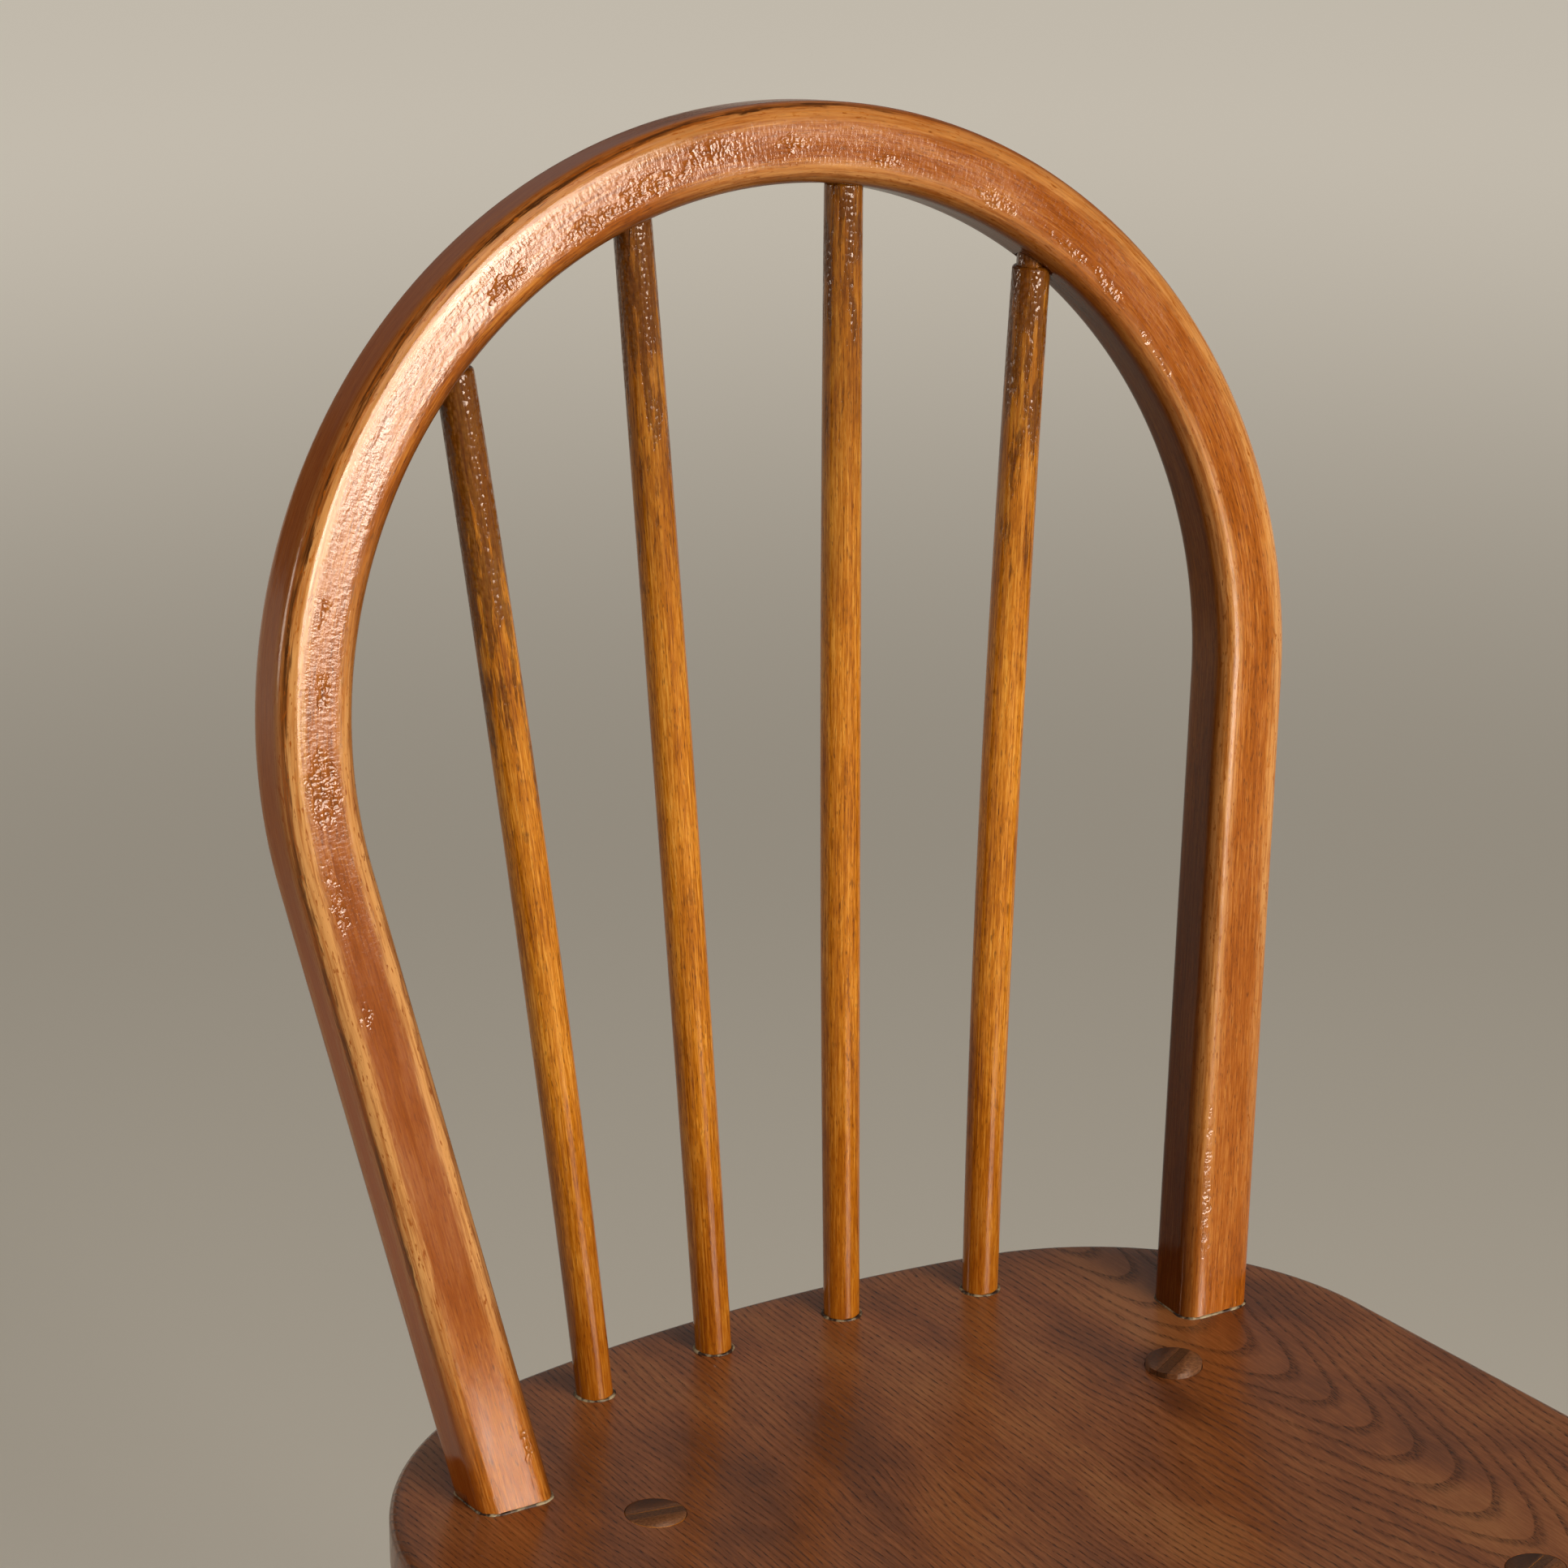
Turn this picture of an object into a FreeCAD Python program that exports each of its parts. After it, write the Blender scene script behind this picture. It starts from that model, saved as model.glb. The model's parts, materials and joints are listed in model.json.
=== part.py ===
# Hoop back chair: a solid seat, a bent hoop with four spindles, four splayed legs and an H of stretchers.
# Units are millimetres. +Z is up, the chair faces -Y, and left and right are as seen from the front.
# The origin is on the floor, under the middle of the chair's box.
# Until the last step, y is measured from the line through the middles of the hoop's feet.

import FreeCAD, Part
import math
import os

Vec = FreeCAD.Vector
UP = Vec(0, 0, 1)
LEFT = -1
RIGHT = 1
SIDE_NAMES = {LEFT: "left", RIGHT: "right"}

# Seat, with its waist measured on the line of the hoop's feet
seat_height = 432.0
seat_thickness = 32.0
seat_waist = 365.3
seat_flare = 5.7
seat_behind_hoop = 79.9
seat_depth = 380.5
seat_back_radius = 520.0
seat_front_radius = 600.0
seat_rear_corner = 115.0
seat_front_corner = 70.0
seat_edge_round = 5.0
seat_bevel_height = 14.0
seat_bevel_run = 28.0
dish_depth = 5.0
dish_diameter = 236.0
dish_setback = 174.0

# Hoop: height and radius on its centre line, feet set in from the seat's sides, and rake from upright
hoop_width = 26.5
hoop_thickness = 24.0
hoop_corner = 6.0
hoop_radius = 177.0
hoop_height = 421.0
hoop_foot_inset = 45.45
hoop_rake = 11.1
hoop_tenon_diameter = 18.0

# Spindles: feet in a bowed row near the seat's back, and heads at angles round the hoop's bend
spindle_pitch = 51.2
spindle_row_inset = 23.7
spindle_row_radius = 316.0
inner_head_angle = 13.1
outer_head_angle = 38.5
spindle_foot_diameter = 12.4
spindle_belly_diameter = 13.6
spindle_head_diameter = 12.8
spindle_tenon_diameter = 10.0
spindle_socket_depth = 18.0
spindle_reveal = 0.8

# Legs: tenons set in from the seat's sides and from its front or back, and how far each leg leans
front_leg_inset = 83.9
front_leg_setback = 88.0
front_leg_splay = 9.0
front_leg_rake = 7.0
rear_leg_inset = 85.1
rear_leg_setback = 116.5
rear_leg_splay = 9.0
rear_leg_rake = 16.0
leg_tenon_diameter = 19.2
leg_neck_diameter = 25.0
leg_belly_diameter = 32.0
leg_foot_diameter = 21.0
leg_belly_height = 250.0
leg_shoulder_gap = 1.0
proud_tenon = 2.0

# Stretchers
stretcher_height = 172.0
stretcher_end_diameter = 14.0
side_stretcher_diameter = 22.0
cross_stretcher_diameter = 21.0

# Wedges: thick end, tip and how deep they are driven
wedge_thickness = 3.3
wedge_tip = 0.9
leg_wedge_depth = 25.0
hoop_wedge_depth = 22.0
front_wedge_turn = 25.0
rear_left_wedge_turn = -9.0
rear_right_wedge_turn = 30.0

# Room all round a tenon in its socket, and round a wedge in its kerf
socket_clearance = 0.12
kerf_clearance = 0.06

# Edges that lie this close to a height are at that height
flat_tolerance = 0.01

seat_underside = seat_height - seat_thickness
seat_front_y = seat_behind_hoop - seat_depth
room = 4.0 * seat_height


def seat_half_width(y):
    """How far the seat's straight side stands from the middle, at a place from front to back."""
    return seat_waist / 2.0 - y * math.tan(math.radians(seat_flare))


def slab(z_low, z_high):
    """A block wider than the chair, between two heights."""
    return Part.makeBox(room, room, z_high - z_low, Vec(-room / 2.0, -room / 2.0, z_low))


def stand_along(shape, start, end):
    """Move a shape made along +Z from the origin so that it runs from start towards end."""
    turn = FreeCAD.Rotation(UP, end - start)
    shape.Placement = FreeCAD.Placement(start, turn).multiply(shape.Placement)
    return shape


def turned(edges):
    """Spin a closed outline in the XZ plane, with one edge on the Z axis, into a solid."""
    return Part.Face(Part.Wire(edges)).revolve(Vec(0, 0, 0), UP, 360.0)


def chain(points):
    """Straight edges from point to point."""
    return [Part.LineSegment(a, b).toShape() for a, b in zip(points, points[1:])]


def bow(start, middle, end):
    """A round edge through three points."""
    return Part.Arc(start, middle, end).toShape()


def tapered_wedge(depth, width, grow):
    """A wedge with its thick end at z = 0, spare length above, its tip at -depth, and its width along Y."""
    top = wedge_thickness / 2.0 + grow
    tip = wedge_tip / 2.0 + grow
    low = -depth - grow
    rise = depth / 2.0
    spread = (top - tip) / depth * rise
    outline = Part.makePolygon([
        Vec(tip, -width, low),
        Vec(top + spread, -width, rise),
        Vec(-top - spread, -width, rise),
        Vec(-tip, -width, low),
        Vec(tip, -width, low),
    ])
    return Part.Face(outline).extrude(Vec(0, 2.0 * width, 0))


# Spindles

hoop_arc_centre = hoop_height - hoop_radius


def on_hoop_plane(across, along):
    """A point in the hoop's leaning plane, from its place across and along that plane."""
    rake = math.radians(hoop_rake)
    return Vec(across, along * math.sin(rake), seat_height + along * math.cos(rake))


def spindle_ends(foot_x, head_angle):
    """The spindle's foot on the seat, its head on the hoop's centre line, and its shoulder's height."""
    row_bow = spindle_row_radius - math.sqrt(spindle_row_radius ** 2 - foot_x ** 2)
    foot = Vec(foot_x, seat_behind_hoop - spindle_row_inset - row_bow, seat_height)
    across = hoop_radius * math.sin(math.radians(head_angle))
    rise = hoop_radius * math.cos(math.radians(head_angle))
    head = on_hoop_plane(across, hoop_arc_centre + rise)
    outward = (on_hoop_plane(across, rise) - on_hoop_plane(0, 0)).normalize()
    axis = (head - foot).normalize()
    shoulder = (head - foot).Length - hoop_width / 2.0 / axis.dot(outward) - spindle_reveal
    return foot, head, shoulder


def spindle(foot, head, shoulder, grow=0.0):
    """A spindle that swells a little, with a rounded shoulder and a tenon under the hoop."""
    foot_r = spindle_foot_diameter / 2.0 + grow
    belly_r = spindle_belly_diameter / 2.0 + grow
    head_r = spindle_head_diameter / 2.0 + grow
    tenon_r = spindle_tenon_diameter / 2.0 + grow
    round_r = head_r - tenon_r
    low = -spindle_socket_depth - grow
    high = (head - foot).Length + grow
    neck = shoulder + grow - round_r
    slant = math.sqrt(0.5) * round_r
    root = Vec(tenon_r, 0, neck + round_r)
    edges = [bow(Vec(foot_r, 0, 0), Vec(belly_r, 0, shoulder / 2.0), Vec(head_r, 0, neck))]
    edges += [bow(Vec(head_r, 0, neck), Vec(tenon_r + slant, 0, neck + slant), root)]
    edges += chain([root, Vec(tenon_r, 0, high), Vec(0, 0, high), Vec(0, 0, low)])
    edges += chain([Vec(0, 0, low), Vec(foot_r, 0, low), Vec(foot_r, 0, 0)])
    return stand_along(turned(edges), foot, head)


spindle_places = {}
for side in (LEFT, RIGHT):
    name = "spindle_" + SIDE_NAMES[side]
    spindle_places[name + "_outer"] = spindle_ends(side * spindle_pitch * 1.5, side * outer_head_angle)
    spindle_places[name + "_inner"] = spindle_ends(side * spindle_pitch * 0.5, side * inner_head_angle)
spindles = {name: spindle(*place) for name, place in spindle_places.items()}
spindle_sockets = [spindle(*place, grow=socket_clearance) for place in spindle_places.values()]


# Hoop

hoop_foot_x = seat_half_width(0) - hoop_foot_inset
foot_reach = math.hypot(hoop_foot_x, hoop_arc_centre)
limb_lean = math.atan2(hoop_arc_centre, hoop_foot_x) - math.acos(hoop_radius / foot_reach)
bend_angle = 90.0 + math.degrees(limb_lean)


def hoop_section():
    """The hoop's section at the top of the bend: a rectangle with rounded corners."""
    corner = Vec(0, -hoop_thickness / 2.0, hoop_height - hoop_width / 2.0)
    block = Part.makeBox(hoop_width, hoop_thickness, hoop_width, corner)
    long_edges = [edge for edge in block.Edges if edge.BoundBox.XLength > hoop_width / 2.0]
    rounded = block.makeFillet(hoop_corner, long_edges)
    return min(rounded.Faces, key=lambda face: face.CenterOfMass.x)


def limb_points(side):
    """The foot of a limb on the seat, and the point on its centre line where the bend begins."""
    bend = hoop_radius * math.cos(limb_lean)
    drop = hoop_radius * math.sin(limb_lean)
    return on_hoop_plane(side * hoop_foot_x, 0), on_hoop_plane(side * bend, hoop_arc_centre - drop)


def hoop_tenon(side, grow=0.0):
    """The round tenon that carries a limb's foot through the seat."""
    foot, bend = limb_points(side)
    reach = 2.0 * seat_thickness
    tenon = Part.makeCylinder(hoop_tenon_diameter / 2.0 + grow, 2.0 * reach, Vec(0, 0, -reach))
    return stand_along(tenon, foot, bend)


def hoop_wedge(side, grow=0.0):
    """The wedge driven up into a limb's tenon from under the seat, across the seat's grain."""
    foot, bend = limb_points(side)
    axis = (bend - foot).normalize()
    end = foot - axis * (seat_thickness / axis.z)
    blank = tapered_wedge(hoop_wedge_depth, hoop_tenon_diameter, grow)
    blank.rotate(Vec(0, 0, 0), UP, 90.0)
    return stand_along(blank, end, end - axis)


def make_hoop():
    """Bend the section round the arc, run the limbs down to the seat and add the tenons."""
    axis_point = Vec(0, 0, hoop_arc_centre)
    section = hoop_section()
    section.rotate(axis_point, Vec(0, 1, 0), -bend_angle)
    solids = [section.revolve(axis_point, Vec(0, 1, 0), 2.0 * bend_angle)]
    limb_length = math.sqrt(foot_reach ** 2 - hoop_radius ** 2) + hoop_thickness
    for side in (LEFT, RIGHT):
        end = hoop_section()
        end.rotate(axis_point, Vec(0, 1, 0), side * bend_angle)
        down = Vec(-side * math.sin(limb_lean), 0, -math.cos(limb_lean))
        solids.append(end.extrude(down * limb_length))
    for solid in solids:
        solid.rotate(Vec(0, 0, 0), Vec(1, 0, 0), -hoop_rake)
        solid.translate(Vec(0, 0, seat_height))
    bent = solids[0].multiFuse(solids[1:]).cut(slab(seat_height - room, seat_height))
    through_seat = slab(seat_underside, seat_height + hoop_width)
    tenons = [hoop_tenon(side).common(through_seat) for side in (LEFT, RIGHT)]
    kerfs = [hoop_wedge(side, kerf_clearance) for side in (LEFT, RIGHT)]
    return bent.multiFuse(tenons).removeSplitter().cut(spindle_sockets + kerfs)


hoop = make_hoop()
hoop_wedges = {}
for side in (LEFT, RIGHT):
    blank = hoop_wedge(side).common(hoop_tenon(side)).common(slab(seat_underside, seat_height))
    hoop_wedges["hoop_wedge_" + SIDE_NAMES[side]] = blank


# Stretchers run level from leg to leg, so their ends lie on the legs' axes

def on_leg(tenon, foot, height):
    """The point at a height on a leg's axis."""
    return foot + (tenon - foot) * (height / seat_height)


def stretcher(start, end, diameter, grow=0.0):
    """A stretcher that swells from its two ends to its middle."""
    length = (end - start).Length
    end_r = stretcher_end_diameter / 2.0 + grow
    middle_r = diameter / 2.0 + grow
    near = Vec(end_r, 0, -grow)
    far = Vec(end_r, 0, length + grow)
    edges = [bow(near, Vec(middle_r, 0, length / 2.0), far)]
    edges += chain([far, Vec(0, 0, far.z), Vec(0, 0, near.z), near])
    return stand_along(turned(edges), start, end)


def leg_place(side, tenon_y, inset, splay, lean_back):
    """The middle of a leg's tenon on the seat's top, and of its foot on the floor."""
    tenon = Vec(side * (seat_half_width(tenon_y) - inset), tenon_y, seat_height)
    out = side * seat_height * math.tan(math.radians(splay))
    back = seat_height * math.tan(math.radians(lean_back))
    return tenon, tenon + Vec(out, back, -seat_height)


front_tenon_y = seat_front_y + front_leg_setback
rear_tenon_y = seat_behind_hoop - rear_leg_setback
leg_places = {}
for side in (LEFT, RIGHT):
    front = leg_place(side, front_tenon_y, front_leg_inset, front_leg_splay, -front_leg_rake)
    rear = leg_place(side, rear_tenon_y, rear_leg_inset, rear_leg_splay, rear_leg_rake)
    leg_places["front_" + SIDE_NAMES[side]] = front
    leg_places["rear_" + SIDE_NAMES[side]] = rear

side_ends = {}
for side in (LEFT, RIGHT):
    word = SIDE_NAMES[side]
    side_ends[side] = [on_leg(*leg_places[end + word], stretcher_height) for end in ("front_", "rear_")]
cross_ends = [(side_ends[side][0] + side_ends[side][1]) * 0.5 for side in (LEFT, RIGHT)]
side_sockets = []
for side in (LEFT, RIGHT):
    side_sockets.append(stretcher(*side_ends[side], side_stretcher_diameter, socket_clearance))
cross_socket = stretcher(*cross_ends, cross_stretcher_diameter, socket_clearance)

stretchers = {"stretcher_cross": stretcher(*cross_ends, cross_stretcher_diameter)}
for side in (LEFT, RIGHT):
    bar = stretcher(*side_ends[side], side_stretcher_diameter)
    stretchers["stretcher_" + SIDE_NAMES[side]] = bar.cut(cross_socket)


# Legs

def leg_blank(tenon, foot, grow=0.0):
    """A turned leg that swells between its foot and its neck, longer than needed at both ends."""
    length = (tenon - foot).Length
    upright = (tenon - foot).normalize().z
    slope = math.sqrt(1.0 - upright ** 2) / upright
    foot_r = leg_foot_diameter / 2.0 + grow
    belly_r = leg_belly_diameter / 2.0 + grow
    neck_r = leg_neck_diameter / 2.0 + grow
    tenon_r = leg_tenon_diameter / 2.0 + grow
    round_r = neck_r - tenon_r
    shoulder = length - seat_thickness / upright - neck_r * slope - leg_shoulder_gap
    neck = shoulder - round_r
    slant = math.sqrt(0.5) * round_r
    over = leg_neck_diameter
    edges = [bow(Vec(foot_r, 0, 0), Vec(belly_r, 0, leg_belly_height), Vec(neck_r, 0, neck))]
    edges += [bow(Vec(neck_r, 0, neck), Vec(tenon_r + slant, 0, neck + slant), Vec(tenon_r, 0, shoulder))]
    edges += chain([Vec(tenon_r, 0, shoulder), Vec(tenon_r, 0, length + over), Vec(0, 0, length + over)])
    edges += chain([Vec(0, 0, length + over), Vec(0, 0, -over), Vec(foot_r, 0, -over), Vec(foot_r, 0, 0)])
    return stand_along(turned(edges), foot, tenon)


def leg_wedge(tenon, foot, turn, grow=0.0):
    """The wedge driven down into a leg's tenon from the top of the seat."""
    axis = (tenon - foot).normalize()
    blank = tapered_wedge(leg_wedge_depth, leg_tenon_diameter, grow)
    blank.rotate(Vec(0, 0, 0), UP, 90.0 + turn)
    return stand_along(blank, tenon, tenon + axis)


wedge_turns = {"front_left": front_wedge_turn, "front_right": front_wedge_turn,
               "rear_left": rear_left_wedge_turn, "rear_right": rear_right_wedge_turn}
tenon_tops = {name: seat_height for name in leg_places}
tenon_tops["rear_right"] = seat_height + proud_tenon
legs = {}
leg_wedges = {}
for name, place in leg_places.items():
    trimmed = slab(0, tenon_tops[name])
    leg = leg_blank(*place).common(trimmed)
    kerf = leg_wedge(*place, wedge_turns[name], kerf_clearance)
    legs["leg_" + name] = leg.cut(side_sockets + [kerf])
    leg_wedges["leg_wedge_" + name] = leg_wedge(*place, wedge_turns[name]).common(leg)


# Seat

def seat_corner(arc_centre, arc_radius, corner_radius, end):
    """The start, middle and end of the arc from the seat's side to its back (end -1) or its front (end 1)."""
    flare = math.radians(seat_flare)
    out = Vec(math.cos(flare), math.sin(flare), 0)
    forward = Vec(math.sin(flare), -math.cos(flare), 0)
    start = Vec(seat_half_width(0), 0, 0) - out * corner_radius
    offset = start - arc_centre
    reach = offset.dot(forward)
    travel = -reach + end * math.sqrt(reach ** 2 - offset.dot(offset) + (arc_radius - corner_radius) ** 2)
    centre = start + forward * travel
    to_arc = (centre - arc_centre).normalize()
    middle = (out + to_arc).normalize()
    return centre + out * corner_radius, centre + middle * corner_radius, centre + to_arc * corner_radius


def mirrored(point):
    """The same point on the other side of the chair."""
    return Vec(-point.x, point.y, point.z)


def seat_outline():
    """The seat's outline: bowed back and front, round corners and straight sides that open to the front."""
    back = Vec(0, seat_behind_hoop, 0)
    front = Vec(0, seat_front_y, 0)
    back_centre = back - Vec(0, seat_back_radius, 0)
    front_centre = front + Vec(0, seat_front_radius, 0)
    rear_side, rear_middle, rear_end = seat_corner(back_centre, seat_back_radius, seat_rear_corner, -1)
    front_side, front_middle, front_end = seat_corner(front_centre, seat_front_radius, seat_front_corner, 1)
    edges = [bow(mirrored(rear_end), back, rear_end), bow(rear_end, rear_middle, rear_side)]
    edges += chain([rear_side, front_side])
    edges += [bow(front_side, front_middle, front_end), bow(front_end, front, mirrored(front_end))]
    edges += [bow(mirrored(front_end), mirrored(front_middle), mirrored(front_side))]
    edges += chain([mirrored(front_side), mirrored(rear_side)])
    edges += [bow(mirrored(rear_side), mirrored(rear_middle), mirrored(rear_end))]
    return Part.Wire(edges)


def edges_at(shape, height):
    """The edges that lie flat at a height."""
    boxes = [(edge, edge.BoundBox) for edge in shape.Edges]
    return [edge for edge, box in boxes if max(box.ZMax - height, height - box.ZMin) < flat_tolerance]


def make_seat():
    """Cut the plank to its outline, shape its edges, dish it and drill its sockets."""
    plank = Part.Face(seat_outline()).extrude(Vec(0, 0, seat_thickness))
    plank.translate(Vec(0, 0, seat_underside))
    plank = plank.makeChamfer(seat_bevel_height, seat_bevel_run, edges_at(plank, seat_underside))
    plank = plank.makeFillet(seat_edge_round, edges_at(plank, seat_height))
    dish_r = dish_diameter / 2.0
    scoop_r = (dish_r ** 2 + dish_depth ** 2) / (2.0 * dish_depth)
    scoop = Part.makeSphere(scoop_r, Vec(0, seat_front_y + dish_setback, seat_height + scoop_r - dish_depth))
    leg_sockets = [leg_blank(*place, grow=socket_clearance) for place in leg_places.values()]
    hoop_sockets = [hoop_tenon(side, socket_clearance) for side in (LEFT, RIGHT)]
    return plank.cut([scoop] + spindle_sockets + leg_sockets + hoop_sockets)


# The whole chair, moved so that the middle of its box stands over the origin

nodes = {"seat": make_seat(), "hoop": hoop}
for group in (hoop_wedges, spindles, legs, leg_wedges, stretchers):
    nodes.update(group)

boxes = [shape.optimalBoundingBox(False, False) for shape in nodes.values()]
middle_y = (min(box.YMin for box in boxes) + max(box.YMax for box in boxes)) / 2.0

os.makedirs("parts", exist_ok=True)
for name, shape in nodes.items():
    shape.translate(Vec(0, -middle_y, 0))
    shape.exportStep("parts/" + name + ".step")
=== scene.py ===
import json
import math

import bpy
from mathutils import Matrix, Vector

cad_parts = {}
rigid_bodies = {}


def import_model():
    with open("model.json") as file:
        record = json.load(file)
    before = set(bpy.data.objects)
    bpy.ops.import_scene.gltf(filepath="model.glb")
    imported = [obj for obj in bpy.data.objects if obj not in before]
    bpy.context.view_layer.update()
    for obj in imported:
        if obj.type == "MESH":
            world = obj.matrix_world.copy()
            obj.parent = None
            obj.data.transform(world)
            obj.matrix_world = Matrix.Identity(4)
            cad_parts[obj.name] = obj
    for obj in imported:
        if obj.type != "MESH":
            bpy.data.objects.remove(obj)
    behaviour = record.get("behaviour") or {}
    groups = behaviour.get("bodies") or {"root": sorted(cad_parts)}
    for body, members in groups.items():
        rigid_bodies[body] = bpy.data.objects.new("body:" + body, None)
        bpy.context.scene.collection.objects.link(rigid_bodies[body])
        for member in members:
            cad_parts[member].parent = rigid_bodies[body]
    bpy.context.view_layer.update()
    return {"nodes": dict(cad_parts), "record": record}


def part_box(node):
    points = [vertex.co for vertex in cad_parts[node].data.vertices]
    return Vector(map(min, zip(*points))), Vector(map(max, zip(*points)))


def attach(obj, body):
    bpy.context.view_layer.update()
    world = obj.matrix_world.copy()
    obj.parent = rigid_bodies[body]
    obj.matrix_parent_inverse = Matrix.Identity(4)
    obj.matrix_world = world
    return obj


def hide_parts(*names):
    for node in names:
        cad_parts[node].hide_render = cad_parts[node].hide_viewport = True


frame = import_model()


# Seat: one elm plank, sawn to a bowed outline, bevelled below and scooped to a shallow dish by hand.
# It is stained dark and varnished, and its open pores draw the growth rings as rows of short dark lines.
# The legs and the hoop's tenons pass right through it, and the spindles stand in blind sockets.
MM = 0.001
seat_low, seat_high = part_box("seat")
seat_top = seat_high.z
seat_thickness = 32.0 * MM
seat_waist = 365.3 * MM
seat_flare = math.radians(5.7)
seat_behind_hoop = 79.9 * MM
seat_depth = 380.5 * MM
seat_back_radius = 520.0 * MM
seat_front_radius = 600.0 * MM
seat_rear_corner = 115.0 * MM
seat_front_corner = 70.0 * MM
seat_edge_round = 5.0 * MM
seat_bevel_height = 14.0 * MM
seat_bevel_run = 28.0 * MM
dish_depth = 5.0 * MM
dish_radius = 142.0 * MM
dish_setback = 174.0 * MM
outline_step = 5.0 * MM
top_rings = 34
hoop_line = seat_high.y - seat_behind_hoop
seat_front = seat_high.y - seat_depth


def arc(centre, radius, start, end):
    """Points along a level arc between two angles, about one outline step apart, without its last point."""
    count = max(2, round(abs(end - start) * radius / outline_step))
    angles = [start + (end - start) * i / count for i in range(count)]
    return [Vector((centre.x + radius * math.cos(a), centre.y + radius * math.sin(a), 0.0)) for a in angles]


def seat_corner(arc_centre, arc_radius, corner_radius, end):
    """The centre of the corner between the seat's right side and its back (end -1) or front (end 1) arc."""
    out = Vector((math.cos(seat_flare), math.sin(seat_flare), 0.0))
    forward = Vector((math.sin(seat_flare), -math.cos(seat_flare), 0.0))
    start = Vector((seat_waist / 2, hoop_line, 0.0)) - out * corner_radius
    offset = start - arc_centre
    reach = offset.dot(forward)
    root = math.sqrt(reach ** 2 - offset.length_squared + (arc_radius - corner_radius) ** 2)
    return start + forward * (end * root - reach)


def seat_half_outline():
    """The right half of the seat's outline, from the middle of its back to the middle of its front."""
    back_centre = Vector((0.0, seat_high.y - seat_back_radius, 0.0))
    front_centre = Vector((0.0, seat_front + seat_front_radius, 0.0))
    rear = seat_corner(back_centre, seat_back_radius, seat_rear_corner, -1)
    front = seat_corner(front_centre, seat_front_radius, seat_front_corner, 1)
    to_back = math.atan2(rear.y - back_centre.y, rear.x)
    to_front = math.atan2(front.y - front_centre.y, front.x)
    points = arc(back_centre, seat_back_radius, math.pi / 2, to_back)
    points += arc(rear, seat_rear_corner, to_back, seat_flare)
    side_out = Vector((math.cos(seat_flare), math.sin(seat_flare), 0.0))
    side_start = rear + side_out * seat_rear_corner
    side_end = front + side_out * seat_front_corner
    count = round((side_end - side_start).length / outline_step)
    points += [side_start.lerp(side_end, i / count) for i in range(count)]
    points += arc(front, seat_front_corner, seat_flare, to_front)
    points += arc(front_centre, seat_front_radius, to_front, -math.pi / 2)
    return points


def select_faces(piece, test):
    """Go into edit mode with only the faces that pass the test selected."""
    bpy.context.view_layer.objects.active = piece
    bpy.ops.object.mode_set(mode="EDIT")
    bpy.ops.mesh.select_mode(type="FACE")
    bpy.ops.mesh.select_all(action="DESELECT")
    bpy.ops.object.mode_set(mode="OBJECT")
    for face in piece.data.polygons:
        face.select = test(face)
    bpy.ops.object.mode_set(mode="EDIT")


def edit_all():
    """Go into edit mode with all of the active piece selected."""
    bpy.ops.object.mode_set(mode="EDIT")
    bpy.ops.mesh.select_all(action="SELECT")


def face_outwards():
    """Turn every face of the active piece outwards, and leave edit mode."""
    edit_all()
    bpy.ops.mesh.normals_make_consistent(inside=False)
    bpy.ops.object.mode_set(mode="OBJECT")


def make_seat():
    """Saw the outline, bevel the underside, round the top edge, ring the top and scoop the dish."""
    half = seat_half_outline()
    front_middle = Vector((0.0, seat_front, 0.0))
    mirror = [Vector((-p.x, p.y, 0.0)) for p in half]
    outline = mirror + [front_middle] + half[:0:-1]
    bpy.ops.object.select_all(action="DESELECT")
    bpy.ops.mesh.primitive_circle_add(vertices=len(outline), fill_type="NGON")
    seat = bpy.context.object
    seat.name = "seat_plank"
    wall_foot = seat_top - seat_thickness + seat_bevel_height
    for vertex, point in zip(seat.data.vertices, outline):
        vertex.co = (point.x, point.y, wall_foot)
    edit_all()
    wall = seat_top - wall_foot
    bpy.ops.mesh.extrude_region_move(TRANSFORM_OT_translate={"value": (0, 0, wall)})
    face_outwards()
    select_faces(seat, lambda face: face.normal.z < -0.9)
    bpy.ops.mesh.inset(thickness=seat_bevel_run, depth=seat_bevel_height)
    bpy.ops.object.mode_set(mode="OBJECT")
    select_faces(seat, lambda face: face.normal.z > 0.9)
    bpy.ops.mesh.region_to_loop()
    bpy.ops.mesh.bevel(offset=seat_edge_round, segments=6, affect="EDGES")
    bpy.ops.object.mode_set(mode="OBJECT")
    select_faces(seat, lambda face: face.normal.z > 0.99 and len(face.vertices) > 4)
    middle = Vector((0.0, seat_front + dish_setback, seat_top))
    for ring in range(1, top_rings):
        shrink = (top_rings - ring) / (top_rings - ring + 1)
        bpy.ops.mesh.extrude_region_move(TRANSFORM_OT_translate={"value": (0, 0, 0)})
        bpy.ops.transform.resize(value=(shrink, shrink, 1), center_override=middle)
    bpy.ops.mesh.poke()
    bpy.ops.object.mode_set(mode="OBJECT")
    for vertex in seat.data.vertices:
        reach = (vertex.co - middle).length / dish_radius
        if vertex.co.z > seat_top - 0.01 * MM and reach < 1.0:
            vertex.co.z -= dish_depth * (1.0 + math.cos(math.pi * reach)) / 2
    return seat


seat = make_seat()


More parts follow.
